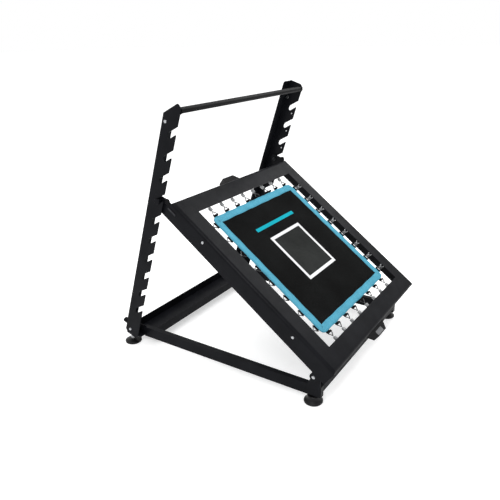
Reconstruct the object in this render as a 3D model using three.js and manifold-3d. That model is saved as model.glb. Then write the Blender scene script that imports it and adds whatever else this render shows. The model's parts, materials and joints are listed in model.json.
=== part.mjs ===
// Adjustable ball rebounder: a sprung square mat in a tilting sheet-steel frame that hooks onto two
// notched, leaning uprights. Millimetres, +Z up, +Y to the rear, +X to the right of someone facing +Y.
// The frame turns about two bolts at the front of the base; the uprights turn about two bolts at its rear.

import * as THREE from "three";
import { mergeVertices } from "three/addons/utils/BufferGeometryUtils.js";
import Module from "manifold-3d";

const wasm = await Module();
wasm.setup();

// ---------------------------------------------------------------- driving dimensions
const GAP = 0.3; // clearance left between touching pieces
const rad = THREE.MathUtils.degToRad;

const BASE_CENTRE_Y = 83; // middle of the footprint, front to rear, before centring
const TILT = rad(36.6); // slope of the mat frame
const LEAN = rad(18.3); // forward lean of the uprights

const RAIL = { outer: 440, width: 25, bottom: 34, height: 50, front: -396.7, rear: 558, wall: 2.5 };
const FRONT_TUBE = { front: -400, depth: 30, height: 30, wall: 2.5 };
const CHANNEL = { front: 495, rear: 634, bottom: 42, sheet: 3 };
const REAR_BRACKET = { front: 540, rear: 612, outer: 484, bottom: 52, top: 96, sheet: 4, tongue: 632 };
const FRONT_BRACKET = { bottom: 38, sheet: 4.2, ahead: 16, behind: 44, eye: 16 };
const FOOT = { radius: 40, frontHeight: 33, rearHeight: 17.5, studRadius: 6 };
const FOOT_AT = { front: { x: 427.5, y: -362 }, rear: { x: 463, y: 614 } };

const FRAME = { size: 950, depth: 80, flange: 87, sheet: 3, bend: 15 };
const PIVOT = { y: -382.4, z: 149.5, fromEdge: 45.4, belowTop: 94.1, radius: 6 };

const UPRIGHT = { pivotY: 602, pivotZ: 81, outer: 488.5, sheet: 3.5, depth: 80, behindPivot: 28 };
const UPRIGHT_BOTTOM = -30;
const UPRIGHT_TOP = 1152;
const UPRIGHT_FLANGE = 68;
const NOTCH = { count: 10, used: 4, pitch: 98.6, firstZ: 1021, seat: 50 };
const PIN_RADIUS = 10;
const CROSSBAR = { z: 1129, inset: 70, radius: 12.5 };

const MAT = { size: 680, thickness: 6, top: 14, corner: 26 };
const SPRINGS = { perSide: 8, pitch: 85.6, width: 10, thickness: 6 };
const HANDLE = { length: 150, reach: 40, taper: 33, wall: 3.5, top: 31, bottom: 67 };

const SIDES = [
  { name: "left", sign: -1 },
  { name: "right", sign: 1 },
];

// ---------------------------------------------------------------- materials
const material = (color, roughness, metalness) =>
  new THREE.MeshStandardMaterial({ color, roughness, metalness });
const blackCoat = () => material(0x1c1d20, 0.5, 0.35);
const chrome = () => material(0xc8ccd0, 0.2, 1);
const zinc = () => material(0xa9adb0, 0.35, 1);
const blackRubber = () => material(0x121212, 0.85, 0);
const blackPlastic = () => material(0x151617, 0.5, 0);
const blackFabric = () => material(0x24262a, 0.9, 0);
const webbing = () => material(0x101114, 0.9, 0);

// ---------------------------------------------------------------- geometry helpers
function signedVolume(geometry) {
  const p = geometry.attributes.position;
  const index = geometry.index;
  const a = new THREE.Vector3();
  const b = new THREE.Vector3();
  const c = new THREE.Vector3();
  let total = 0;
  for (let i = 0; i < index.count; i += 3) {
    a.fromBufferAttribute(p, index.getX(i));
    b.fromBufferAttribute(p, index.getX(i + 1));
    c.fromBufferAttribute(p, index.getX(i + 2));
    total += a.dot(b.cross(c)) / 6;
  }
  return total;
}

// Shared vertices merged, slivers dropped and faces turned outward.
function closed(geometry) {
  geometry.deleteAttribute("normal");
  geometry.deleteAttribute("uv");
  const merged = mergeVertices(geometry, 1e-3);
  const old = merged.index.array;
  const kept = [];
  for (let i = 0; i < old.length; i += 3) {
    const [a, b, c] = [old[i], old[i + 1], old[i + 2]];
    if (a !== b && b !== c && c !== a) kept.push(a, b, c);
  }
  merged.setIndex(kept);
  if (signedVolume(merged) < 0) {
    for (let i = 0; i < kept.length; i += 3) [kept[i + 1], kept[i + 2]] = [kept[i + 2], kept[i + 1]];
    merged.setIndex(kept);
  }
  return merged;
}

function toSolid(geometry) {
  const body = closed(geometry);
  return new wasm.Manifold(
    new wasm.Mesh({
      numProp: 3,
      vertProperties: new Float32Array(body.attributes.position.array),
      triVerts: new Uint32Array(body.index.array),
    }),
  );
}

function toGeometry(solid) {
  const mesh = solid.getMesh();
  const geometry = new THREE.BufferGeometry();
  geometry.setAttribute("position", new THREE.BufferAttribute(mesh.vertProperties, 3));
  geometry.setIndex(new THREE.BufferAttribute(mesh.triVerts, 1));
  return closed(geometry);
}

const solid = (shape) => (shape.isBufferGeometry ? toSolid(shape) : shape);
const unite = (...shapes) => shapes.map(solid).reduce((a, b) => a.add(b));
const remove = (body, ...tools) => tools.map(solid).reduce((a, b) => a.subtract(b), solid(body));
const join = (...shapes) => toGeometry(unite(...shapes));
const cut = (body, ...tools) => toGeometry(remove(body, ...tools));

function outline(points) {
  return new THREE.Shape(points.map(([x, y]) => new THREE.Vector2(x, y)));
}

// A flat plate standing in the YZ plane: the shape's x is world y, its y is world z.
function sidePlate(shape, x0, x1, curveSegments = 5) {
  const geometry = new THREE.ExtrudeGeometry(shape, {
    depth: Math.abs(x1 - x0),
    bevelEnabled: false,
    curveSegments,
  });
  const axes = new THREE.Matrix4().makeBasis(
    new THREE.Vector3(0, 1, 0),
    new THREE.Vector3(0, 0, 1),
    new THREE.Vector3(1, 0, 0),
  );
  return geometry.applyMatrix4(axes).translate(Math.min(x0, x1), 0, 0);
}

// A section drawn in the XZ plane and run along Y.
function runAlongY(shape, y0, y1) {
  const geometry = new THREE.ExtrudeGeometry(shape, { depth: y1 - y0, bevelEnabled: false });
  return geometry.rotateX(Math.PI / 2).translate(0, y1, 0);
}

function block(x0, x1, y0, y1, z0, z1) {
  const box = new THREE.BoxGeometry(Math.abs(x1 - x0), y1 - y0, z1 - z0);
  return box.translate((x0 + x1) / 2, (y0 + y1) / 2, (z0 + z1) / 2);
}

// A turned piece. The profile is [radius, distance along the axis]; the axis is x, y or z, times sign.
function turned(profile, axis, sign = 1, segments = 20) {
  const points = profile.map(([r, h]) => new THREE.Vector2(r, h));
  const geometry = new THREE.LatheGeometry(points, segments);
  if (sign < 0) geometry.rotateX(Math.PI);
  if (axis === "x") geometry.rotateZ(-Math.PI / 2);
  if (axis === "z") geometry.rotateX(Math.PI / 2);
  return closed(geometry);
}

const rod = (radius, from, to, axis, sign = 1, segments = 20) =>
  turned([[0, from], [radius, from], [radius, to], [0, to]], axis, sign, segments);

function mesh(name, geometry, finish) {
  const piece = new THREE.Mesh(closed(geometry), finish);
  piece.name = name;
  return piece;
}

// A dome-headed bolt with its nut, on the x axis. Head outside, nut inside, grip between the two.
function boltAndNut(headFace, nutFace, shank, headRadius, sign) {
  const headHeight = headRadius * 0.6;
  const nutHeight = shank * 1.5;
  return turned(
    [
      [0, nutFace - nutHeight],
      [headRadius, nutFace - nutHeight],
      [headRadius, nutFace],
      [shank, nutFace],
      [shank, headFace],
      [headRadius, headFace],
      [headRadius * 0.86, headFace + headHeight * 0.6],
      [headRadius * 0.5, headFace + headHeight],
      [0, headFace + headHeight],
    ],
    "x",
    sign,
    16,
  );
}

// ---------------------------------------------------------------- base
function rail({ sign }) {
  const inner = RAIL.outer - RAIL.width;
  const top = RAIL.bottom + RAIL.height;
  const skin = RAIL.wall;
  const section = (grow) =>
    outline([
      [inner + grow, RAIL.bottom + grow],
      [RAIL.outer - grow, RAIL.bottom + grow],
      [RAIL.outer - grow, top - grow],
      [inner + grow, top - grow],
    ]);
  const shape = section(0);
  shape.holes.push(section(skin));
  const tube = closed(runAlongY(shape, RAIL.front, RAIL.rear).scale(sign, 1, 1));
  const { x, y } = FOOT_AT.front;
  const stud = rod(FOOT.studRadius + 0.5, RAIL.bottom - 5, RAIL.bottom + 8, "z").translate(sign * x, y, 0);
  return cut(tube, stud);
}

// A push-in cap for the open front end of a rail: a plate with a shorter plug behind it.
function railCap({ sign }) {
  const x = sign * (RAIL.outer - RAIL.width / 2);
  const z = RAIL.bottom + RAIL.height / 2;
  const halfX = RAIL.width / 2;
  const halfZ = RAIL.height / 2;
  const inside = RAIL.wall + GAP;
  const face = block(x - halfX, x + halfX, RAIL.front - 3 - GAP, RAIL.front - GAP, z - halfZ, z + halfZ);
  const plug = block(
    x - halfX + inside,
    x + halfX - inside,
    RAIL.front - 1,
    RAIL.front + 14,
    z - halfZ + inside,
    z + halfZ - inside,
  );
  return join(face, plug);
}

// The square tube that ties the front ends of the two rails together.
function frontTube() {
  const half = RAIL.outer - RAIL.width - GAP;
  const top = RAIL.bottom + RAIL.height;
  const { front, depth, height, wall } = FRONT_TUBE;
  const section = (grow) =>
    outline([
      [front + grow, top - height + grow],
      [front + depth - grow, top - height + grow],
      [front + depth - grow, top - grow],
      [front + grow, top - grow],
    ]);
  const shape = section(0);
  shape.holes.push(section(wall));
  return sidePlate(shape, -half, half);
}

// The wide open-topped channel that ties the two rails together at the rear.
function rearChannel() {
  const half = RAIL.outer - RAIL.width - GAP;
  const top = RAIL.bottom + RAIL.height;
  const { front, rear, bottom, sheet } = CHANNEL;
  const shape = outline([
    [front, bottom],
    [rear, bottom],
    [rear, top],
    [rear - sheet, top],
    [rear - sheet, bottom + sheet],
    [front + sheet, bottom + sheet],
    [front + sheet, top],
    [front, top],
  ]);
  return sidePlate(shape, -half, half);
}

// An angle bracket on the outside of each rail's rear end, open outward. It carries the upright, and
// its longer bottom flange carries the foot.
function rearBracket({ sign }) {
  const inner = RAIL.outer + GAP;
  const { front, rear, outer, bottom, top, sheet, tongue } = REAR_BRACKET;
  const shape = outline([
    [inner, bottom],
    [outer, bottom],
    [outer, bottom + sheet],
    [inner + sheet, bottom + sheet],
    [inner + sheet, top],
    [inner, top],
  ]);
  const section = closed(runAlongY(shape, front, rear).scale(sign, 1, 1));
  const flange = block(sign * inner, sign * outer, rear - 5, tongue, bottom, bottom + sheet);
  const { x, y } = FOOT_AT.rear;
  const stud = rod(FOOT.studRadius + 0.5, 0, bottom + sheet + 2, "z").translate(sign * x, y, 0);
  const bolt = rod(5.4, inner - 5, inner + 10, "x", sign).translate(0, UPRIGHT.pivotY, UPRIGHT.pivotZ);
  return cut(unite(section, flange), stud, bolt);
}

// The plate on the outside of each rail's front end, rising to an eye for the frame's pivot bolt.
function frontBracket({ sign }) {
  const x0 = RAIL.outer + GAP;
  const { bottom, sheet, ahead, behind, eye } = FRONT_BRACKET;
  const shoulder = RAIL.bottom + RAIL.height;
  const shape = new THREE.Shape();
  shape.moveTo(PIVOT.y - ahead, bottom);
  shape.lineTo(PIVOT.y + behind, bottom);
  shape.lineTo(PIVOT.y + behind, shoulder);
  shape.lineTo(PIVOT.y + eye, PIVOT.z - 6);
  shape.absarc(PIVOT.y, PIVOT.z, eye, 0, Math.PI, false);
  const plate = sidePlate(shape, sign * x0, sign * (x0 + sheet), 8);
  const bolt = rod(PIVOT.radius + GAP, x0 - 5, x0 + 12, "x", sign).translate(0, PIVOT.y, PIVOT.z);
  return cut(plate, bolt);
}

// The pad is a low disc at the rear and a taller bell at the front, with a socket for its stud.
function footPad(front) {
  const { radius, frontHeight, rearHeight } = FOOT;
  const shoulder = front
    ? [[radius, 8], [radius - 3, 12], [30, 17], [27, 23], [26, frontHeight - 2], [24, frontHeight]]
    : [[radius, 8], [radius - 4, 11], [15, rearHeight]];
  const floor = socketFloor(front);
  return turned([[0, 0], [radius - 2, 0], [radius, 3], ...shoulder, [9, shoulder.at(-1)[1]], [9, floor], [0, floor]], "z", 1, 32);
}

const socketFloor = (front) => (front ? 22 : 9);

function footStud(front) {
  const { studRadius } = FOOT;
  const seat = socketFloor(front) + GAP;
  const top = front ? RAIL.bottom + 10 : REAR_BRACKET.bottom + 14;
  return turned([[0, seat], [8.5, seat], [8.5, seat + 4], [studRadius, seat + 5], [studRadius, top], [0, top]], "z");
}

// A hexagonal nut standing on z = 0.
function hexNut(corner, hole, height) {
  const corners = [0, 1, 2, 3, 4, 5].map((i) => (i * Math.PI) / 3);
  const shape = outline(corners.map((a) => [corner * Math.cos(a), corner * Math.sin(a)]));
  const bore = new THREE.Path();
  bore.absarc(0, 0, hole, 0, Math.PI * 2, true);
  shape.holes.push(bore);
  return new THREE.ExtrudeGeometry(shape, { depth: height, bevelEnabled: false, curveSegments: 10 });
}

// ---------------------------------------------------------------- uprights
// In the uprights' own frame the origin is their base pivot, z runs up the web and -y is its front edge.
const FRONT_EDGE = UPRIGHT.behindPivot - UPRIGHT.depth;
const notchZ = (number) => NOTCH.firstZ - (number - 1) * NOTCH.pitch;
const NOTCH_Y = UPRIGHT.behindPivot - NOTCH.seat;

// One hook-shaped notch, drawn downward along the front edge: a 45 degree slot with a deeper seat.
function drawNotch(shape, z) {
  const at = (forward, up) => [NOTCH_Y - forward, z + up];
  shape.lineTo(...at(29, 46));
  shape.lineTo(...at(-5, 11.5));
  shape.quadraticCurveTo(...at(-10.5, 6), ...at(-11, 0));
  shape.lineTo(...at(-11.5, -8));
  shape.quadraticCurveTo(...at(-11.5, -18), ...at(-1.5, -18));
  shape.lineTo(...at(23.5, 9.4));
  shape.quadraticCurveTo(...at(28, 13), ...at(29, 8));
}

function upright({ sign }, cornerCut) {
  const rear = UPRIGHT.behindPivot;
  const shape = new THREE.Shape();
  shape.moveTo(rear, UPRIGHT_TOP - cornerCut);
  shape.lineTo(rear - cornerCut, UPRIGHT_TOP);
  shape.lineTo(FRONT_EDGE + 16, UPRIGHT_TOP);
  shape.lineTo(FRONT_EDGE, UPRIGHT_TOP - 12);
  for (let number = 1; number <= NOTCH.count; number += 1) drawNotch(shape, notchZ(number));
  shape.lineTo(FRONT_EDGE, UPRIGHT_BOTTOM + 16);
  shape.lineTo(FRONT_EDGE + 16, UPRIGHT_BOTTOM);
  shape.lineTo(rear - 16, UPRIGHT_BOTTOM);
  shape.lineTo(rear, UPRIGHT_BOTTOM + 16);
  const inner = UPRIGHT.outer - UPRIGHT.sheet;
  const web = sidePlate(shape, sign * inner, sign * UPRIGHT.outer, 3);
  const flangeInner = UPRIGHT.outer - UPRIGHT_FLANGE;
  const flangeTop = UPRIGHT_TOP - cornerCut;
  const flangeShape = new THREE.Shape();
  flangeShape.moveTo(flangeInner, UPRIGHT_BOTTOM + 16);
  flangeShape.lineTo(inner + 1, UPRIGHT_BOTTOM + 16);
  flangeShape.lineTo(inner + 1, flangeTop);
  flangeShape.lineTo(flangeInner + 14, flangeTop);
  flangeShape.quadraticCurveTo(flangeInner, flangeTop, flangeInner, flangeTop - 14);
  const flange = closed(runAlongY(flangeShape, rear - UPRIGHT.sheet, rear).scale(sign, 1, 1));
  const pivotHole = rod(5.4, inner - 5, inner + 10, "x", sign);
  const topHole = rod(4.3, inner - 5, inner + 10, "x", sign).translate(0, TOP_BOLT_Y, TOP_BOLT_Z);
  const knobHole = rod(4.3, 0, 40, "y").translate(sign * KNOB.x, 0, KNOB.z);
  return cut(unite(web, flange), pivotHole, topHole, knobHole);
}

const TOP_BOLT_Y = 11;
const TOP_BOLT_Z = 1065;
const KNOB = { x: 470, z: 17 };

// The round bar between the tops of the uprights, with a small welding disc at each end.
function crossbar() {
  const half = UPRIGHT.outer - UPRIGHT.sheet - GAP;
  const r = CROSSBAR.radius;
  return turned(
    [[0, -half], [r + 3, -half], [r + 3, 3 - half], [r, 4 - half], [r, half - 4], [r + 3, half - 3], [r + 3, half], [0, half]],
    "x",
    1,
    24,
  );
}

// The clamping knob behind each upright: a plated stud and collar with a round plastic head.
function knob({ sign }) {
  const rear = UPRIGHT.behindPivot;
  const profile = [
    [0, rear - 5],
    [4, rear - 5],
    [4, rear + GAP],
    [9, rear + GAP],
    [9, rear + 6],
    [6, rear + 7],
    [6, rear + 9],
    [11.5, rear + 10],
    [12.5, rear + 13],
    [12.5, rear + 27],
    [10, rear + 30],
    [0, rear + 30],
  ];
  return turned(profile, "y").translate(sign * KNOB.x, 0, KNOB.z);
}

// ---------------------------------------------------------------- mat frame
// In the frame's own group the origin is its pivot axis; frame points are given by their distance up
// the slope from the front edge (v) and their depth below the top face (d).
const frameY = (v) => v - PIVOT.fromEdge;
const frameZ = (d) => PIVOT.belowTop - d;

// Where the hook pin sits: in the seat of the used notch, worked out in the frame's own group.
function hookPoint() {
  const y = NOTCH_Y;
  const z = notchZ(NOTCH.used);
  const worldY = UPRIGHT.pivotY + y * Math.cos(LEAN) - z * Math.sin(LEAN) - PIVOT.y;
  const worldZ = UPRIGHT.pivotZ + y * Math.sin(LEAN) + z * Math.cos(LEAN) - PIVOT.z;
  return {
    y: worldY * Math.cos(TILT) + worldZ * Math.sin(TILT),
    z: worldZ * Math.cos(TILT) - worldY * Math.sin(TILT),
  };
}

// One folded L-section member with mitred ends: a wide top flange and a deep outer wall.
function frameMember(place) {
  const { size, depth, flange, sheet, bend } = FRAME;
  const shape = new THREE.Shape();
  shape.moveTo(0, depth);
  shape.lineTo(0, bend);
  shape.absarc(bend, bend, bend, Math.PI, 1.5 * Math.PI, false);
  shape.lineTo(flange, 0);
  shape.lineTo(flange, sheet);
  shape.lineTo(bend, sheet);
  shape.absarc(bend, bend, bend - sheet, 1.5 * Math.PI, Math.PI, true);
  shape.lineTo(sheet, depth);
  const geometry = new THREE.ExtrudeGeometry(shape, { depth: 2, bevelEnabled: false, curveSegments: 5 });
  const p = geometry.attributes.position;
  for (let i = 0; i < p.count; i += 1) {
    const inset = p.getX(i);
    const down = p.getY(i);
    const along = Math.sign(p.getZ(i) - 1) * (size / 2 - inset - GAP / 2);
    const [x, v] = place(inset, along);
    p.setXYZ(i, x, frameY(v), frameZ(down));
  }
  return closed(geometry);
}

const SIDE_BOLT_V = [211, 739];
const SIDE_BOLT_DEPTH = 30;
const EAR_RADIUS = 24;

// A side member: the L-section with an eye below it for the pivot and an ear behind it for the hook pin.
function frameSide({ sign }) {
  const half = FRAME.size / 2;
  const body = frameMember((inset, along) => [sign * (half - inset), half + along]);
  const hook = hookPoint();
  const eye = new THREE.Shape();
  eye.moveTo(18, frameZ(FRAME.depth - 4));
  eye.lineTo(18, 0);
  eye.absarc(0, 0, 18, 0, Math.PI, true);
  eye.lineTo(-18, frameZ(FRAME.depth - 4));
  const ear = new THREE.Shape();
  ear.moveTo(frameY(FRAME.size - 8), frameZ(9));
  ear.lineTo(frameY(FRAME.size - 8), frameZ(FRAME.depth));
  ear.lineTo(frameY(FRAME.size + 22), frameZ(FRAME.depth));
  ear.absarc(hook.y, hook.z, EAR_RADIUS, -0.25 * Math.PI, 0.5 * Math.PI, false);
  ear.lineTo(frameY(FRAME.size + 30), frameZ(9));
  const x0 = sign * (half - FRAME.sheet);
  const x1 = sign * half;
  const holes = SIDE_BOLT_V.map((v) =>
    rod(4.3, half - 20, half + 10, "x", sign, 16).translate(0, frameY(v), frameZ(SIDE_BOLT_DEPTH)),
  );
  holes.push(rod(PIVOT.radius + GAP, half - 20, half + 10, "x", sign));
  holes.push(rod(5.3, half - 20, half + 10, "x", sign).translate(0, hook.y, hook.z));
  const earStart = frameY(FRAME.size - 8);
  const wallEnd = block(x0 - 2 * sign, x1 + 2 * sign, earStart, earStart + 20, frameZ(FRAME.depth + 2), frameZ(9));
  const walls = unite(remove(body, wallEnd), sidePlate(eye, x0, x1, 8), sidePlate(ear, x0, x1, 6));
  return cut(walls, ...holes);
}

// The space an ear takes at the end of the rear member's wall.
function earClearance(sign) {
  const inner = FRAME.size / 2 - FRAME.sheet - GAP;
  const [front, rear] = [frameY(FRAME.size - 12), frameY(FRAME.size + 2)];
  return block(sign * inner, sign * (inner + 10), front, rear, frameZ(FRAME.depth + 2), frameZ(9 - GAP));
}

// The stub that rests in a notch: a shank through the ear, the bearing body and a keeping head.
function hookPin({ sign }) {
  const half = FRAME.size / 2;
  const head = UPRIGHT.outer + 3;
  const hook = hookPoint();
  const profile = [
    [0, half - 13],
    [5, half - 13],
    [5, half + GAP],
    [PIN_RADIUS, half + GAP],
    [PIN_RADIUS, head],
    [14, head],
    [14, head + 3],
    [11, head + 5],
    [0, head + 5],
  ];
  return turned(profile, "x", sign, 24).translate(0, hook.y, hook.z);
}

function hookNut({ sign }) {
  const outer = FRAME.size / 2 - FRAME.sheet - GAP;
  const hook = hookPoint();
  const nut = hexNut(9.5, 5.6, 8).rotateY(Math.PI / 2);
  return nut.translate(sign > 0 ? outer - 8 : -outer, hook.y, hook.z);
}

// The round black cap on the ear, just ahead of the hook pin.
function earCap({ sign }) {
  const face = FRAME.size / 2 + GAP;
  const cap = turned([[0, face], [12.5, face], [12.5, face + 5], [9, face + 8], [0, face + 8]], "x", sign, 24);
  return cap.translate(0, frameY(967), frameZ(13));
}

// The short plated strip on the outside of the side wall, ahead of the cap.
function keeperStrip({ sign }) {
  const face = FRAME.size / 2 + GAP;
  return block(sign * face, sign * (face + 2.5), frameY(904), frameY(950), frameZ(39), frameZ(31));
}

// A cup pull on the outside of the front or rear wall: closed above, open below for the fingers.
function handle(direction) {
  const edge = direction < 0 ? 0 : FRAME.size;
  const { length, reach, taper, wall, top, bottom } = HANDLE;
  const slope = taper / reach;
  const profile = (inset) => {
    const at = (x, out) => [x, frameY(edge + direction * (out + GAP))];
    const halfAt = (out) => length / 2 - 1.3 * inset - slope * out;
    const front = reach - inset;
    const back = inset > 0 ? -5 : 0;
    return outline([
      at(-halfAt(back), back),
      at(-halfAt(front), front),
      at(halfAt(front), front),
      at(halfAt(back), back),
    ]);
  };
  const layer = (inset, from, to) =>
    new THREE.ExtrudeGeometry(profile(inset), { depth: to - from, bevelEnabled: false }).translate(0, 0, frameZ(to));
  return cut(layer(0, top, bottom), layer(wall, top + wall, bottom + 5));
}

function pivotBush({ sign }) {
  const from = RAIL.outer + GAP + FRONT_BRACKET.sheet + GAP;
  const to = FRAME.size / 2 - FRAME.sheet - GAP;
  const hole = PIVOT.radius + GAP;
  return turned([[hole, from], [10, from], [10, to], [hole, to], [hole, from]], "x", sign, 20);
}

// ---------------------------------------------------------------- mat and springs
function mat() {
  const half = MAT.size / 2;
  const r = MAT.corner;
  const shape = new THREE.Shape();
  shape.moveTo(-half + r, -half);
  shape.lineTo(half - r, -half);
  shape.absarc(half - r, -half + r, r, -0.5 * Math.PI, 0, false);
  shape.lineTo(half, half - r);
  shape.absarc(half - r, half - r, r, 0, 0.5 * Math.PI, false);
  shape.lineTo(-half + r, half);
  shape.absarc(-half + r, half - r, r, 0.5 * Math.PI, Math.PI, false);
  shape.lineTo(-half, -half + r);
  shape.absarc(-half + r, -half + r, r, Math.PI, 1.5 * Math.PI, false);
  const geometry = new THREE.ExtrudeGeometry(shape, { depth: MAT.thickness, bevelEnabled: false, curveSegments: 5 });
  return geometry.translate(0, frameY(FRAME.size / 2), frameZ(MAT.top + MAT.thickness));
}

// One side's webbing strip with its eight springs, each rising from the mat to the flange's underside.
function springRow(turn) {
  const { perSide, pitch, width, thickness } = SPRINGS;
  const matEdge = MAT.size / 2 + GAP;
  const middle = MAT.top + MAT.thickness / 2;
  const end = FRAME.size / 2 - FRAME.flange + 9;
  const stripHalf = ((perSide - 1) * pitch) / 2 + 14;
  const strip = block(matEdge, matEdge + 6, -stripHalf, stripHalf, frameZ(middle + 2), frameZ(middle - 2));
  const rise = middle - FRAME.sheet - 1 - thickness / 2;
  const pieces = [strip];
  for (let i = 0; i < perSide; i += 1) {
    const y = (i - (perSide - 1) / 2) * pitch;
    const spring = block(matEdge + 3, end, y - width / 2, y + width / 2, frameZ(middle + thickness / 2), frameZ(middle - thickness / 2));
    const p = spring.attributes.position;
    for (let k = 0; k < p.count; k += 1) {
      if (p.getX(k) > matEdge + 10) p.setZ(k, p.getZ(k) + rise);
    }
    pieces.push(spring);
  }
  return join(...pieces).rotateZ(turn).translate(0, frameY(FRAME.size / 2), 0);
}

// ---------------------------------------------------------------- assembly
const base = new THREE.Group();
const uprights = new THREE.Group();
uprights.position.set(0, UPRIGHT.pivotY, UPRIGHT.pivotZ);
uprights.rotation.x = LEAN;
const frame = new THREE.Group();
frame.position.set(0, PIVOT.y, PIVOT.z);
frame.rotation.x = TILT;

for (const side of SIDES) {
  const { name, sign } = side;
  base.add(mesh(`base_rail_${name}`, rail(side), blackCoat()));
  base.add(mesh(`rail_cap_${name}`, railCap(side), blackPlastic()));
  base.add(mesh(`rear_bracket_${name}`, rearBracket(side), blackCoat()));
  base.add(mesh(`front_bracket_${name}`, frontBracket(side), blackCoat()));
  for (const place of ["front", "rear"]) {
    const front = place === "front";
    const pieces = [
      mesh(`foot_pad_${place}_${name}`, footPad(front), blackRubber()),
      mesh(`foot_stud_${place}_${name}`, footStud(front), zinc()),
    ];
    if (!front) {
      const nut = hexNut(11, FOOT.studRadius + GAP, 9).translate(0, 0, FOOT.rearHeight + 1.5);
      pieces.push(mesh(`foot_nut_${place}_${name}`, nut, zinc()));
    }
    for (const piece of pieces) piece.position.set(sign * FOOT_AT[place].x, FOOT_AT[place].y, 0);
    base.add(...pieces);
  }

  uprights.add(mesh(`upright_${name}`, upright(side, sign < 0 ? 57 : 4), blackCoat()));
  const topBolt = boltAndNut(UPRIGHT.outer + GAP, UPRIGHT.outer - UPRIGHT.sheet - GAP, 4, 7.5, sign);
  uprights.add(mesh(`top_bolt_${name}`, topBolt.translate(0, TOP_BOLT_Y, TOP_BOLT_Z), chrome()));
  uprights.add(mesh(`clamp_knob_${name}`, knob(side), blackPlastic()));
  const baseBolt = boltAndNut(UPRIGHT.outer + GAP, RAIL.outer, 5, 7, sign);
  const placedBolt = mesh(`upright_bolt_${name}`, baseBolt, chrome());
  placedBolt.position.set(0, UPRIGHT.pivotY, UPRIGHT.pivotZ);
  base.add(placedBolt);

  const pivotBolt = boltAndNut(FRAME.size / 2 + GAP, RAIL.outer, PIVOT.radius, 8, sign);
  const pivot = mesh(`pivot_bolt_${name}`, pivotBolt, chrome());
  pivot.position.set(0, PIVOT.y, PIVOT.z);
  base.add(pivot);
  const bush = mesh(`pivot_bush_${name}`, pivotBush(side), zinc());
  bush.position.set(0, PIVOT.y, PIVOT.z);
  base.add(bush);

  frame.add(mesh(`frame_side_${name}`, frameSide(side), blackCoat()));
  frame.add(mesh(`hook_pin_${name}`, hookPin(side), blackCoat()));
  frame.add(mesh(`hook_nut_${name}`, hookNut(side), zinc()));
  frame.add(mesh(`ear_cap_${name}`, earCap(side), blackPlastic()));
  frame.add(mesh(`keeper_strip_${name}`, keeperStrip(side), zinc()));
  SIDE_BOLT_V.forEach((v, i) => {
    const bolt = boltAndNut(FRAME.size / 2 + GAP, FRAME.size / 2 - FRAME.sheet - GAP, 4, 7, sign);
    const place = i === 0 ? "front" : "rear";
    frame.add(mesh(`side_bolt_${place}_${name}`, bolt.translate(0, frameY(v), frameZ(SIDE_BOLT_DEPTH)), chrome()));
  });
  frame.add(mesh(`spring_row_${name}`, springRow(sign < 0 ? Math.PI : 0), zinc()));
}

base.add(mesh("front_tube", frontTube(), blackCoat()));
base.add(mesh("rear_channel", rearChannel(), blackCoat()));

const bar = mesh("crossbar", crossbar(), blackCoat());
bar.position.set(0, UPRIGHT.behindPivot - CROSSBAR.inset, CROSSBAR.z);
uprights.add(bar);

const half = FRAME.size / 2;
const rearMember = cut(
  frameMember((inset, along) => [along, 2 * half - inset]),
  ...SIDES.map(({ sign }) => earClearance(sign)),
);
frame.add(mesh("frame_front", frameMember((inset, along) => [along, inset]), blackCoat()));
frame.add(mesh("frame_rear", rearMember, blackCoat()));
frame.add(mesh("handle_front", handle(-1), blackPlastic()));
frame.add(mesh("handle_rear", handle(1), blackPlastic()));
frame.add(mesh("bounce_mat", mat(), blackFabric()));
frame.add(mesh("spring_row_front", springRow(-Math.PI / 2), zinc()));
frame.add(mesh("spring_row_rear", springRow(Math.PI / 2), zinc()));

const assembly = new THREE.Group();
assembly.add(base, uprights, frame);
assembly.position.y = -BASE_CENTRE_Y;

const rebounder = new THREE.Group();
rebounder.add(assembly);

export default rebounder;
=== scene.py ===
"""Adjustable ball rebounder: looks, detail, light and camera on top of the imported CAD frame."""

import json
import math

import bpy
from mathutils import Matrix, Vector


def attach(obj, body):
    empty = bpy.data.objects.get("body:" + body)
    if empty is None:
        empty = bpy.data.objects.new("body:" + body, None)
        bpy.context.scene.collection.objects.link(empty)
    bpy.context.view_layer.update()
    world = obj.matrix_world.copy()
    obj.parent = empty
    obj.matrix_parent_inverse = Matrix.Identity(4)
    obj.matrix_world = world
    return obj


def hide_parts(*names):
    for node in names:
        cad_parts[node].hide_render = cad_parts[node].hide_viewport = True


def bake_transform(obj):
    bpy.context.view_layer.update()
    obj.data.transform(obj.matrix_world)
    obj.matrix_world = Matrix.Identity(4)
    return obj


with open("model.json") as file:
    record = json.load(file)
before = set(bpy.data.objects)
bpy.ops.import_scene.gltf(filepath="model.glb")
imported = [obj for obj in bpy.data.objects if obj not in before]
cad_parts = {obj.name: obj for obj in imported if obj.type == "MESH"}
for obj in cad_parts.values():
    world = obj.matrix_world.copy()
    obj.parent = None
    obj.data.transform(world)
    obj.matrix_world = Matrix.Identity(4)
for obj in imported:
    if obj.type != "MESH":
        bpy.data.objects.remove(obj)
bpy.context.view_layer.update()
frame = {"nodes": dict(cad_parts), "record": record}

# ---------------------------------------------------------------- driving sizes, in metres
FRAME_SIZE = 0.95
FRAME_SHEET = 0.003
TILT = math.radians(36.6)
PIVOT_FROM_EDGE = 0.0454
PIVOT_BELOW_TOP = 0.0941

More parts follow.
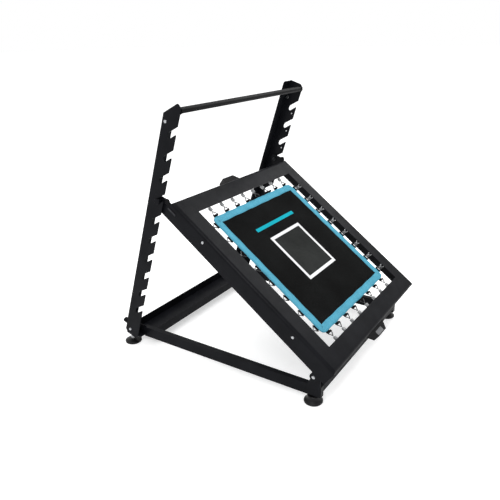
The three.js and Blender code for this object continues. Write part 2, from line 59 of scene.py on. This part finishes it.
MAT_SIZE = 0.680
MAT_CORNER = 0.026
MAT_TOP = 0.014
CLOTH_BELOW_TOP = 0.0016
CLOTH_THICKNESS = 0.0022
HEM = 0.012
GRID_STEP = 0.012
STITCH_PITCH = 0.0052
BORDER_WIDTH = 0.0365
TARGET_SIZE = 0.260
TARGET_LINE = 0.015
STRIPE_HALF_LENGTH = 0.165
STRIPE_MIDDLE = 0.191
STRIPE_HALF_WIDTH = 0.009

SPRINGS_PER_SIDE = 8
SPRING_PITCH = 0.0856
COIL_RADIUS = 0.0068
COIL_WIRE = 0.0012
COIL_TURNS = 12
RING_WIRE = 0.0021
RING_START = 0.3485
RING_END = 0.369
COIL_END = 0.391
ANCHOR_AT = 0.396

HANDLE_TOP = 0.031
PLATE = {"length": 0.060, "width": 0.021, "height": 0.0012, "corner": 0.003}
PLATE_AT = (-0.010, 0.0255)
LEAN = math.radians(18.3)
NOTCH_PITCH = 0.0986
FIRST_NOTCH = 1.021
NOTCH_COUNT = 10
DOT_BELOW_NOTCH = 0.0288
DOT_FORWARD = 0.0346
WEB_INNER_FACE = 0.485

EDGE_ROUND = 0.0007
TURNED_SPLIT = math.radians(32)
BEND_SPLIT = math.radians(35)


def joint(name):
    return next(j for j in frame["record"]["behaviour"]["joints"] if j["name"] == name)


PIVOT = Vector(joint("frame_tilt")["pos_m"])
SWING = Vector(joint("upright_swing")["pos_m"])


def frame_matrix():
    """Row frame from the mat frame's own axes: x across, y up the slope, z out of the top face.
    The origin is the middle of the frame, level with its top face."""
    turn = Matrix.Rotation(TILT, 4, "X")
    middle = Vector((0, FRAME_SIZE / 2 - PIVOT_FROM_EDGE, PIVOT_BELOW_TOP))
    return Matrix.Translation(PIVOT) @ turn @ Matrix.Translation(middle)


def upright_matrix():
    """Row frame from the uprights' own axes: origin on the base pivot, z up the web, -y its front."""
    return Matrix.Translation(SWING) @ Matrix.Rotation(LEAN, 4, "X")


FRAME = frame_matrix()
UPRIGHT = upright_matrix()


# ---------------------------------------------------------------- materials
def new_material(name, color, roughness, metallic=0.0):
    material = bpy.data.materials.new(name)
    material.use_nodes = True
    shader = material.node_tree.nodes["Principled BSDF"]
    shader.inputs["Base Color"].default_value = (*color, 1)
    shader.inputs["Roughness"].default_value = roughness
    shader.inputs["Metallic"].default_value = metallic
    material.diffuse_color = (*color, 1)
    return material, material.node_tree, shader


def add_node(tree, kind, **values):
    node = tree.nodes.new(kind)
    for key, value in values.items():
        if key in node.inputs:
            node.inputs[key].default_value = value
        else:
            setattr(node, key, value)
    return node


def object_coordinates(tree):
    return tree.nodes.new("ShaderNodeTexCoord").outputs["Object"]


def noise(tree, scale, detail=3.0):
    node = add_node(tree, "ShaderNodeTexNoise", Scale=scale, Detail=detail)
    tree.links.new(object_coordinates(tree), node.inputs["Vector"])
    return node.outputs["Fac"]


def ramp(tree, source, low, high, start=0.3, end=0.7):
    node = tree.nodes.new("ShaderNodeValToRGB")
    first, last = node.color_ramp.elements
    first.position, first.color = start, (*low, 1)
    last.position, last.color = end, (*high, 1)
    tree.links.new(source, node.inputs["Fac"])
    return node.outputs["Color"]


def bump(tree, shader, height, strength, distance):
    node = add_node(tree, "ShaderNodeBump", Strength=strength, Distance=distance)
    tree.links.new(height, node.inputs["Height"])
    tree.links.new(node.outputs["Normal"], shader.inputs["Normal"])


def vary(tree, shader, source, low, high, start=0.3, end=0.7):
    tree.links.new(ramp(tree, source, low, high, start, end), shader.inputs["Base Color"])


def vary_roughness(tree, shader, source, low, high):
    grey = ramp(tree, source, (low,) * 3, (high,) * 3)
    tree.links.new(grey, shader.inputs["Roughness"])


def powder_coat(name, dark, light, roughness=0.5):
    """Fine orange-peel powder coat with slightly uneven gloss."""
    material, tree, shader = new_material(name, dark, roughness, metallic=0.0)
    shader.inputs["Specular IOR Level"].default_value = 0.03
    shader.inputs["Coat Weight"].default_value = 0.07
    shader.inputs["Coat Roughness"].default_value = 0.22
    vary(tree, shader, noise(tree, 9, 4), dark, light)
    vary_roughness(tree, shader, noise(tree, 24, 4), roughness - 0.05, roughness + 0.1)
    bump(tree, shader, noise(tree, 900, 2), 0.16, 0.0006)
    return material


def plated(name, dark, light, low, high, metallic=1.0):
    """Metal with a fine grain and a roughness between low and high."""
    material, tree, shader = new_material(name, light, low, metallic=metallic)
    vary(tree, shader, noise(tree, 60, 3), dark, light)
    vary_roughness(tree, shader, noise(tree, 220, 3), low, high)
    bump(tree, shader, noise(tree, 500, 2), 0.06, 0.0004)
    return material


def moulded(name, dark, light, roughness, specular=0.4):
    """Rubber or plastic with a fine moulded grain."""
    material, tree, shader = new_material(name, dark, roughness)
    shader.inputs["Specular IOR Level"].default_value = specular
    vary(tree, shader, noise(tree, 40, 3), dark, light)
    vary_roughness(tree, shader, noise(tree, 120, 2), roughness - 0.06, roughness + 0.08)
    bump(tree, shader, noise(tree, 700, 2), 0.2, 0.0006)
    return material


def weave_height(tree, threads):
    """A plain weave: two crossing sets of threads, in the object's own axes."""
    coordinates = object_coordinates(tree)
    heights = []
    for direction in ("X", "Y"):
        wave = add_node(tree, "ShaderNodeTexWave", Scale=threads, Distortion=0.0)
        wave.bands_direction = direction
        tree.links.new(coordinates, wave.inputs["Vector"])
        heights.append(wave.outputs["Fac"])
    mixed = tree.nodes.new("ShaderNodeMath")
    mixed.operation = "MULTIPLY"
    tree.links.new(heights[0], mixed.inputs[0])
    tree.links.new(heights[1], mixed.inputs[1])
    return mixed.outputs[0]


def woven(name, dark, light, threads, strength=0.5, patches=5, faded=0.82):
    """Plain-woven cloth. The larger patches of tint go down to the faded share of the colour."""
    material, tree, shader = new_material(name, dark, 0.85)
    shader.inputs["Specular IOR Level"].default_value = 0.05
    height = weave_height(tree, threads)
    cloth = ramp(tree, height, dark, light, 0.0, 0.8)
    tint = ramp(tree, noise(tree, patches, 4), (faded,) * 3, (1.0,) * 3)
    mix = add_node(tree, "ShaderNodeMix", data_type="RGBA", blend_type="MULTIPLY")
    mix.inputs[0].default_value = 1.0
    tree.links.new(cloth, mix.inputs[6])
    tree.links.new(tint, mix.inputs[7])
    tree.links.new(mix.outputs[2], shader.inputs["Base Color"])
    bump(tree, shader, height, strength, 0.0006)
    return material


BLACK_COAT = powder_coat("black_powder_coat", (0.0031, 0.0034, 0.0044), (0.0063, 0.0067, 0.0084))
# darker copy of the black powder coat for the crossbar: its extra darkness is painted shade on the round
# tube
BAR_COAT_PAINTED_SHADE = powder_coat("black_bar_painted_shade", (0.0010, 0.0011, 0.0014), (0.0022, 0.0024, 0.0030), 0.42)
CHROME = plated("chrome_plate", (0.30, 0.31, 0.32), (0.50, 0.51, 0.53), 0.16, 0.30)
ZINC = plated("zinc_plate", (0.42, 0.43, 0.44), (0.66, 0.67, 0.68), 0.28, 0.42)
SPRING_STEEL = plated("spring_steel", (0.20, 0.205, 0.21), (0.38, 0.385, 0.39), 0.3, 0.45, 0.9)
DARK_WIRE = plated("dark_wire", (0.022, 0.023, 0.025), (0.055, 0.057, 0.06), 0.3, 0.45, 0.9)
DULL_STEEL = plated("dull_steel", (0.018, 0.019, 0.022), (0.04, 0.041, 0.045), 0.4, 0.55, 0.8)
RUBBER = moulded("black_rubber", (0.0022, 0.0022, 0.0025), (0.0045, 0.0045, 0.005), 0.36, specular=0.2)
PLASTIC = moulded("black_plastic", (0.0020, 0.0020, 0.0026), (0.0042, 0.0042, 0.005), 0.42, specular=0.07)
GREY_PLASTIC = moulded("grey_plastic", (0.085, 0.088, 0.092), (0.13, 0.134, 0.14), 0.45)
MAT_BLACK = woven("woven_bed", (0.0018, 0.0020, 0.0020), (0.0115, 0.0125, 0.0125), 420, faded=0.25)
MAT_GREY = woven("woven_target", (0.014, 0.015, 0.0145), (0.044, 0.047, 0.046), 420, faded=0.55)
WHITE_BAND = woven("white_band", (0.62, 0.63, 0.64), (0.86, 0.87, 0.88), 320, strength=0.3)
TEAL_BAND = woven("teal_band", (0.005, 0.26, 0.33), (0.01, 0.42, 0.50), 320, strength=0.3)
BLUE_BORDER = woven("blue_border", (0.055, 0.255, 0.36), (0.125, 0.40, 0.52), 300, strength=0.4, patches=26)
BLUE_THREAD = woven("blue_thread", (0.04, 0.22, 0.33), (0.08, 0.33, 0.46), 900, strength=0.2)
WEBBING = woven("black_webbing", (0.003, 0.003, 0.0035), (0.012, 0.012, 0.013), 700, strength=0.6)

SLOT_MATERIAL = {
    "black_coat": BLACK_COAT,
    "chrome": CHROME,
    "zinc": ZINC,
    "black_rubber": RUBBER,
    "black_plastic": PLASTIC,
    "mat_fabric": MAT_BLACK,
}
# nodes drawn in another material than their slot's: the keeper strips and hook nuts in dark dull steel, and
# the crossbar in a darker copy of the black coat, which is painted shade on the round tube
OWN_MATERIAL = {"keeper_strip": DULL_STEEL, "hook_nut": DULL_STEEL, "crossbar": BAR_COAT_PAINTED_SHADE}


# ---------------------------------------------------------------- mesh helpers
def mesh_object(name, vertices, faces, material, matrix=None, smooth=True):
    data = bpy.data.meshes.new(name)
    data.from_pydata([tuple(v) for v in vertices], [], faces)
    data.validate()
    data.materials.append(material)
    data.polygons.foreach_set("use_smooth", [smooth] * len(data.polygons))
    piece = bpy.data.objects.new(name, data)
    bpy.context.scene.collection.objects.link(piece)
    if matrix is not None:
        piece.matrix_world = matrix
    return piece


def round_off(piece, width):
    modifier = piece.modifiers.new("round_edges", "BEVEL")
    modifier.width = width
    modifier.segments = 2
    modifier.limit_method = "ANGLE"
    modifier.angle_limit = math.radians(30)
    modifier.use_clamp_overlap = True


def soften_bends(piece):
    """Smooth shading across a folded sheet's bends, with its flat faces left flat."""
    piece.data.polygons.foreach_set("use_smooth", [True] * len(piece.data.polygons))
    split = piece.modifiers.new("split", "EDGE_SPLIT")
    split.split_angle = BEND_SPLIT
    weighted = piece.modifiers.new("flat_faces", "WEIGHTED_NORMAL")
    weighted.keep_sharp = True
    weighted.weight = 90


def tube(points, radius, sides=8, closed=False):
    """Vertices and faces of a round wire along a list of points."""
    count = len(points)
    vertices, faces = [], []
    up = None
    for i, point in enumerate(points):
        before = points[i - 1] if i or closed else points[i]
        after = points[(i + 1) % count] if i < count - 1 or closed else points[i]
        along = (after - before).normalized()
        if up is None:
            up = along.orthogonal().normalized()
        up = (up - along * up.dot(along)).normalized()
        side = along.cross(up)
        for k in range(sides):
            angle = 2 * math.pi * k / sides
            vertices.append(point + radius * (math.cos(angle) * up + math.sin(angle) * side))
    rings = count if closed else count - 1
    for i in range(rings):
        for k in range(sides):
            a = i * sides + k
            b = i * sides + (k + 1) % sides
            c = ((i + 1) % count) * sides
            faces.append((a, b, c + (k + 1) % sides, c + k))
    if not closed:
        faces.append(tuple(reversed(range(sides))))
        faces.append(tuple((count - 1) * sides + k for k in range(sides)))
    return vertices, faces


def merge(parts):
    """One vertex and face list from several."""
    vertices, faces = [], []
    for part_vertices, part_faces in parts:
        shift = len(vertices)
        vertices += part_vertices
        faces += [tuple(i + shift for i in face) for face in part_faces]
    return vertices, faces


def sweep(sections, closed=False):
    """Faces between equal rings of points; open ends are capped."""
    size = len(sections[0])
    vertices = [point for section in sections for point in section]
    faces = []
    count = len(sections)
    for i in range(count if closed else count - 1):
        for k in range(size):
            a = i * size
            b = ((i + 1) % count) * size
            faces.append((a + k, a + (k + 1) % size, b + (k + 1) % size, b + k))
    if not closed:
        faces.append(tuple(reversed(range(size))))
        faces.append(tuple((count - 1) * size + k for k in range(size)))
    return vertices, faces


# ---------------------------------------------------------------- carried-over CAD nodes
TURNED = ("crossbar", "hook_pin", "ear_cap", "foot", "clamp", "pivot", "side_bolt", "top_bolt")


def dress_cad_nodes():
    slots = {part["node"]: part["material_slot"] for part in frame["record"]["subparts"]}
    for name, node in frame["nodes"].items():
        node.data.materials.clear()
        own = next((OWN_MATERIAL[start] for start in OWN_MATERIAL if name.startswith(start)), None)
        node.data.materials.append(own or SLOT_MATERIAL[slots[name]])
        if name.startswith(TURNED):
            node.data.polygons.foreach_set("use_smooth", [True] * len(node.data.polygons))
            sharp = node.modifiers.new("split", "EDGE_SPLIT")
            sharp.split_angle = TURNED_SPLIT
        elif name.startswith(("frame_", "handle")):
            soften_bends(node)
        else:
            round_off(node, EDGE_ROUND)


# ---------------------------------------------------------------- mat
def rounded_square(half, corner, per_corner=8, per_side=60):
    """Points round a rounded square, anticlockwise, with the outward normal of each."""
    points = []
    for quarter in range(4):
        turn = Matrix.Rotation(quarter * math.pi / 2, 2)
        for i in range(per_side):
            y = -half + corner + (2 * half - 2 * corner) * i / per_side
            points.append((turn @ Vector((half, y)), turn @ Vector((1, 0))))
        for i in range(per_corner):
            angle = (math.pi / 2) * i / per_corner
            normal = Vector((math.cos(angle), math.sin(angle)))
            centre = Vector((half - corner, half - corner))
            points.append((turn @ (centre + corner * normal), turn @ normal))
    return points


def spring_offsets():
    return [(i - (SPRINGS_PER_SIDE - 1) / 2) * SPRING_PITCH for i in range(SPRINGS_PER_SIDE)]


def pull(along):
    """How far a spring draws the mat's edge out, from 0 between springs to 1 at a spring."""
    nearest = min(abs(along - y) for y in spring_offsets())
    return math.cos(min(1.0, nearest / (SPRING_PITCH / 2)) * math.pi / 2) ** 2


def mat_height(x, y):
    """The bed sags by a hair towards its middle, with slight unevenness."""
    half = MAT_SIZE / 2
    bowl = (1 - (x / half) ** 2) * (1 - (y / half) ** 2)
    ripple = 0.0002 * math.sin(31 * x + 1.3) * math.sin(27 * y + 0.6)
    return -0.0012 * max(bowl, 0) + ripple


def mat_lines():
    """Grid lines that include every edge of the printed areas."""
    half = MAT_SIZE / 2 - HEM
    inner = TARGET_SIZE / 2 - TARGET_LINE
    fixed_x = [-half, -STRIPE_HALF_LENGTH, -TARGET_SIZE / 2, -inner]
    fixed_x += [-x for x in reversed(fixed_x)]
    low, high = STRIPE_MIDDLE - STRIPE_HALF_WIDTH, STRIPE_MIDDLE + STRIPE_HALF_WIDTH
    fixed_y = [-half, -TARGET_SIZE / 2, -inner, inner, TARGET_SIZE / 2, low, high, half]
    return refine(fixed_x), refine(fixed_y)


def refine(values):
    """The same values, with even steps of at most one grid step between them."""
    result = []
    for a, b in zip(values, values[1:]):
        count = max(1, math.ceil((b - a) / GRID_STEP))
        result += [a + (b - a) * i / count for i in range(count)]
    return result + [values[-1]]


def print_index(x, y):
    """Which fabric a point of the bed shows: 0 bed, 1 target inside, 2 white line, 3 stripe."""
    reach = max(abs(x), abs(y))
    if reach < TARGET_SIZE / 2 - TARGET_LINE:
        return 1
    if reach < TARGET_SIZE / 2:
        return 2
    if abs(y - STRIPE_MIDDLE) < STRIPE_HALF_WIDTH and abs(x) < STRIPE_HALF_LENGTH:
        return 3
    return 0


def make_bed():
    xs, ys = mat_lines()
    columns = len(xs)
    vertices = []
    for side in (0, 1):
        for y in ys:
            for x in xs:
                z = -MAT_TOP - CLOTH_BELOW_TOP + mat_height(x, y) - side * CLOTH_THICKNESS
                vertices.append((x, y, z))
    layer = len(xs) * len(ys)
    faces, index = [], []
    for j in range(len(ys) - 1):
        for i in range(columns - 1):
            a = j * columns + i
            quad = (a, a + 1, a + 1 + columns, a + columns)
            kind = print_index((xs[i] + xs[i + 1]) / 2, (ys[j] + ys[j + 1]) / 2)
            faces.append(quad)
            index.append(kind)
            faces.append(tuple(layer + k for k in reversed(quad)))
            index.append(0)
    rim = list(range(columns))
    rim += [j * columns + columns - 1 for j in range(1, len(ys))]
    rim += [(len(ys) - 1) * columns + i for i in range(columns - 2, -1, -1)]
    rim += [j * columns for j in range(len(ys) - 2, 0, -1)]
    for a, b in zip(rim, rim[1:] + rim[:1]):
        faces.append((b, a, a + layer, b + layer))
        index.append(0)
    bed = mesh_object("mat_bed", vertices, faces, MAT_BLACK, FRAME)
    for material in (MAT_GREY, WHITE_BAND, TEAL_BAND):
        bed.data.materials.append(material)
    bed.data.polygons.foreach_set("material_index", index)
    return bed


def border_section(point, normal, along, corner):
    """The binding folded over the mat's edge: its inner edge, its outer fold and its underside."""
    out = 0.0 if corner else 0.0016 * pull(along)
    pucker = 0.0004 * math.sin(90 * along + 1.0) + 0.0003 * math.sin(213 * along)
    inner = -BORDER_WIDTH + 0.0009 * math.sin(57 * along + 0.4)
    profile = [
        (inner, -0.0008),
        (inner + 0.0006, 0.0010),
        (inner + 0.004, 0.0014),
        (-BORDER_WIDTH * 0.5, 0.0013 + pucker),
        (-0.007, 0.0014 + pucker),
        (-0.0025 + out, 0.0008),
        (-0.0008 + out, -0.0012),
        (-0.0012 + out, -0.0034),
        (-0.004 + out, -0.0046),
        (-BORDER_WIDTH * 0.5, -0.0048),
        (inner + 0.004, -0.0048),
        (inner, -0.0040),
    ]
    base = -MAT_TOP - 0.0014
    return [Vector((*(point + normal * offset), base + z)) for offset, z in profile]


def make_border():
    sections = []
    half = MAT_SIZE / 2 - 0.0005
    for point, normal in rounded_square(half, MAT_CORNER):
        corner = min(abs(point.x), abs(point.y)) > half - MAT_CORNER - 1e-6
        along = point.y if abs(normal.x) > 0.7 else point.x
        sections.append(inset_section(point, normal, along, corner))
    vertices, faces = sweep(sections, closed=True)
    return mesh_object("mat_border", vertices, [tuple(reversed(f)) for f in faces], BLUE_BORDER, FRAME)


def inset_section(point, normal, along, corner):
    """At a corner the binding's inner edge meets in a mitre, so it follows the square, not the arc."""
    section = border_section(point, normal, along, corner)
    limit = MAT_SIZE / 2 - 0.0005
    fixed = []
    for v in section:
        reach = max(abs(v.x), abs(v.y))
        depth = limit - reach
        if corner and depth > MAT_CORNER * 0.9:
            sx, sy = math.copysign(1, point.x), math.copysign(1, point.y)
            edge = limit - depth
            v = Vector((sx * min(abs(v.x), edge), sy * min(abs(v.y), edge), v.z))
        fixed.append(v)
    return fixed


def make_stitching():
    """Two rows of lock stitches round the binding, one short raised thread after another."""
    parts = []
    for inset in (0.006, BORDER_WIDTH - 0.005):
        half = MAT_SIZE / 2 - inset
        reach = half - 0.024
        count = int(2 * reach / STITCH_PITCH)
        for quarter in range(4):
            turn = Matrix.Rotation(quarter * math.pi / 2, 3, "Z")
            for i in range(count):
                y = -reach + STITCH_PITCH * i
                z = -MAT_TOP + 0.00005
                points = [
                    Vector((half, y, z - 0.0004)),
                    Vector((half, y + 0.0009, z + 0.0003)),
                    Vector((half, y + 0.0024, z + 0.0003)),
                    Vector((half, y + 0.0033, z - 0.0004)),
                ]
                parts.append(tube([turn @ p for p in points], 0.00045, 5))
    vertices, faces = merge(parts)
    return mesh_object("mat_stitching", vertices, faces, BLUE_THREAD, FRAME)


# ---------------------------------------------------------------- springs
def spring_wire():
    """The spring's one wire: a hook into the ring, the close-wound coil and a hook onto the anchor."""
    points = [
        Vector((RING_END - 0.0015, 0, 0.0024)),
        Vector((RING_END - 0.0032, 0, 0.0006)),
        Vector((RING_END - 0.0026, 0, -0.0014)),
        Vector((RING_END + 0.0004, 0, -0.0022)),
        Vector((RING_END + 0.0028, 0, -0.0006)),
        Vector((RING_END + 0.0042, 0, 0.0010)),
    ]
    start = RING_END + 0.0055
    steps = COIL_TURNS * 10
    for i in range(steps + 1):
        angle = 2 * math.pi * i / 10
        grow = min(1.0, i / 6, (steps - i) / 6)
        radius = COIL_RADIUS * (0.35 + 0.65 * grow)
        along = start + (COIL_END - start) * i / steps
        points.append(Vector((along, radius * math.sin(angle), radius * math.cos(angle))))
    points += [
        Vector((COIL_END + 0.003, 0, 0.0014)),
        Vector((ANCHOR_AT - 0.001, 0, 0.0030)),
        Vector((ANCHOR_AT + 0.0022, 0, 0.0010)),
        Vector((ANCHOR_AT + 0.0020, 0, -0.0012)),
    ]
    return tube(points, COIL_WIRE, 6)


def ring_wire():
    """The triangular ring between the webbing tab and the spring."""
    wide = 0.0168
    corners = [(RING_START, -wide), (RING_START, wide), (RING_END, 0.0)]
    points = []
    for i, corner in enumerate(corners):
        here = Vector((*corner, 0))
        before = Vector((*corners[i - 1], 0))
        after = Vector((*corners[(i + 1) % 3], 0))
        for share in (0.16, 0.07):
            points.append(here.lerp(before, share))
        points.append(here.lerp((before + after) / 2, 0.045))
        for share in (0.07, 0.16):
            points.append(here.lerp(after, share))
    return tube(points, RING_WIRE, 6, closed=True)


def tab_strap():
    """The webbing tab: a band from under the mat, round the ring's long side and back on itself."""
    width = 0.0142
    path = [
        (0.312, -0.0052), (0.330, -0.0054), (0.3460, -0.0046), (0.3495, -0.0030), (0.3512, -0.0002),
        (0.3500, 0.0022), (0.3470, 0.0030), (0.3445, 0.0022), (0.3432, 0.0004),
    ]
    thickness = 0.0011
    sections = []
    for i, (x, z) in enumerate(path):
        before = Vector(path[max(i - 1, 0)])
        after = Vector(path[min(i + 1, len(path) - 1)])
        along = (after - before).normalized()
        normal = Vector((-along.y, along.x)) * thickness / 2
        sections.append([
            Vector((x + normal.x, -width, z + normal.y)),
            Vector((x + normal.x, width, z + normal.y)),
            Vector((x - normal.x, width, z - normal.y)),
            Vector((x - normal.x, -width, z - normal.y)),
        ])
    return sweep(sections)


def anchor_eye():
    """The small bent lug under the flange that the spring's outer hook holds."""
    bottom = -FRAME_SHEET
    points = [
        Vector((ANCHOR_AT, -0.0075, bottom)),
        Vector((ANCHOR_AT, -0.0075, bottom - 0.0095)),
        Vector((ANCHOR_AT, -0.0050, bottom - 0.0130)),
        Vector((ANCHOR_AT, 0.0050, bottom - 0.0130)),
        Vector((ANCHOR_AT, 0.0075, bottom - 0.0095)),
        Vector((ANCHOR_AT, 0.0075, bottom)),
    ]
    return tube(points, 0.0022, 8)


def make_springs():
    middle = -MAT_TOP - CLOTH_BELOW_TOP
    wires = {"spring": (spring_wire(), SPRING_STEEL), "ring": (ring_wire(), DARK_WIRE)}
    plain = {"tab": (tab_strap(), WEBBING), "anchor": (anchor_eye(), ZINC)}
    made = {"spring": [], "ring": [], "tab": [], "anchor": []}
    for quarter in range(4):
        for number, offset in enumerate(spring_offsets(), 1):
            place = FRAME @ Matrix.Rotation(quarter * math.pi / 2, 4, "Z")
            place = place @ Matrix.Translation((0, offset, 0))
            for kind, ((vertices, faces), material) in {**wires, **plain}.items():
                lift = 0.0 if kind == "anchor" else middle
                matrix = place @ Matrix.Translation((0, 0, lift))
                name = f"{kind}_{quarter}_{number}"
                piece = mesh_object(name, vertices, faces, material, matrix)
                made[kind].append(piece)
                if kind == "anchor":
                    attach(piece, "tilt_frame")
                elif kind == "spring":
                    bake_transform(piece)
                else:
                    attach(piece, "mat")
    for index, row in enumerate(("right", "rear", "left", "front")):
        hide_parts(f"spring_row_{row}")
    return made


def make_mat():
    bed = make_bed()
    border = make_border()
    stitching = make_stitching()
    for piece in (bed, border, stitching):
        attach(piece, "mat")
    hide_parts("bounce_mat")


# ---------------------------------------------------------------- position dots and handle plate
def make_handle_plate():
    """A plain light plate let into the top of the front cup pull."""
    length, width, height, corner = PLATE.values()
    outline = []
    for sx, sy, start in ((1, 1, 0), (-1, 1, 90), (-1, -1, 180), (1, -1, 270)):
        for step in range(5):
            angle = math.radians(start + 22.5 * step)
            x = sx * (length / 2 - corner) + corner * math.cos(angle)
            y = sy * (width / 2 - corner) + corner * math.sin(angle)
            outline.append((x, y))
    vertices, faces = sweep([[Vector((x, y, z)) for x, y in outline] for z in (-0.0004, height)])
    across, out = PLATE_AT
    place = FRAME @ Matrix.Translation((across, -FRAME_SIZE / 2 - out, -HANDLE_TOP))
    plate = mesh_object("handle_plate", vertices, faces, GREY_PLASTIC, place, smooth=False)
    round_off(plate, 0.0004)
    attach(plate, "tilt_frame")


def domed_disc(radius, height, rise, sides):
    """A rivet head: a short cylinder under a low dome."""
    rings = [
        (radius, 0.0),
        (radius, height * 0.6),
        (radius * 0.8, height + rise * 0.3),
        (radius * 0.35, height + rise),
    ]
    sections = []
    for r, z in rings:
        angles = [2 * math.pi * k / sides for k in range(sides)]
        sections.append([Vector((r * math.cos(angle), r * math.sin(angle), z)) for angle in angles])
    return sweep(sections)


def make_position_dots():
    """A small plated rivet beside each notch, on the inner face of each web."""
    vertices, faces = domed_disc(0.0042, 0.0009, 0.0008, 16)
    for side, sign in (("left", -1), ("right", 1)):
        for number in range(1, NOTCH_COUNT + 1):
            z = FIRST_NOTCH - NOTCH_PITCH * (number - 1) - DOT_BELOW_NOTCH
            turn = Matrix.Rotation(-sign * math.pi / 2, 4, "Y")
            place = UPRIGHT @ Matrix.Translation((sign * WEB_INNER_FACE, -DOT_FORWARD, z)) @ turn
            dot = mesh_object(f"dot_{side}_{number}", vertices, faces, ZINC, place)
            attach(dot, "uprights")


# ---------------------------------------------------------------- stage, light and camera
CAMERA_AT = (-2.1097, -1.2578, 1.3985)
CAMERA_YAW = math.radians(-56.577)
CAMERA_PITCH = math.radians(-21.451)
CAMERA_ROLL = math.radians(-1.097)
CAMERA_LENS = 39.191


def make_camera():
    data = bpy.data.cameras.new("camera")
    data.lens = CAMERA_LENS
    data.sensor_width = 36
    camera = bpy.data.objects.new("camera", data)
    bpy.context.scene.collection.objects.link(camera)
    cos_pitch = math.cos(CAMERA_PITCH)
    sin_yaw, cos_yaw = math.sin(CAMERA_YAW), math.cos(CAMERA_YAW)
    forward = Vector((-sin_yaw * cos_pitch, cos_yaw * cos_pitch, math.sin(CAMERA_PITCH)))
    right = Vector((cos_yaw, sin_yaw, 0))
    up = right.cross(forward)
    cos_roll, sin_roll = math.cos(CAMERA_ROLL), math.sin(CAMERA_ROLL)
    rolled_right = right * cos_roll + up * sin_roll
    rolled_up = up * cos_roll - right * sin_roll
    turn = Matrix((rolled_right, rolled_up, -forward)).transposed().to_4x4()
    camera.matrix_world = Matrix.Translation(CAMERA_AT) @ turn
    bpy.context.scene.camera = camera


def make_floor():
    material, tree, shader = new_material("pale_floor", (0.7, 0.7, 0.7), 0.75)
    vary(tree, shader, noise(tree, 2, 2), (0.69, 0.69, 0.69), (0.71, 0.71, 0.71))
    shader.inputs["Emission Color"].default_value = (1, 1, 1, 1)
    shader.inputs["Emission Strength"].default_value = 0.5
    size = 60
    corners = [(-size, -size, 0), (size, -size, 0), (size, size, 0), (-size, size, 0)]
    floor = mesh_object("floor", corners, [(0, 1, 2, 3)], material, smooth=False)
    floor.location.z = -0.0005


def area_light(name, location, target, size, power):
    data = bpy.data.lights.new(name, "AREA")
    data.shape = "SQUARE"
    data.size = size
    data.energy = power
    light = bpy.data.objects.new(name, data)
    bpy.context.scene.collection.objects.link(light)
    light.location = location
    light.rotation_euler = (Vector(target) - Vector(location)).to_track_quat("-Z", "Y").to_euler()


def make_light():
    world = bpy.data.worlds.new("studio")
    world.use_nodes = True
    background = world.node_tree.nodes["Background"]
    background.inputs["Color"].default_value = (1, 1, 1, 1)
    background.inputs["Strength"].default_value = 1.0
    bpy.context.scene.world = world
    area_light("key", (-2.5, -1.0, 2.8), (-0.3, 0, 0.5), 1.4, 38)
    area_light("top", (0.3, 0.6, 3.4), (0, 0, 0.4), 2.4, 45)
    area_light("rim", (2.4, -0.8, 2.6), (0, -0.1, 0.4), 2.0, 40)


# ---------------------------------------------------------------- build
make_camera()
dress_cad_nodes()
springs = make_springs()
make_mat()
make_position_dots()
make_handle_plate()
make_floor()
make_light()
bpy.context.scene.view_settings.view_transform = "Standard"

bpy.context.view_layer.update()
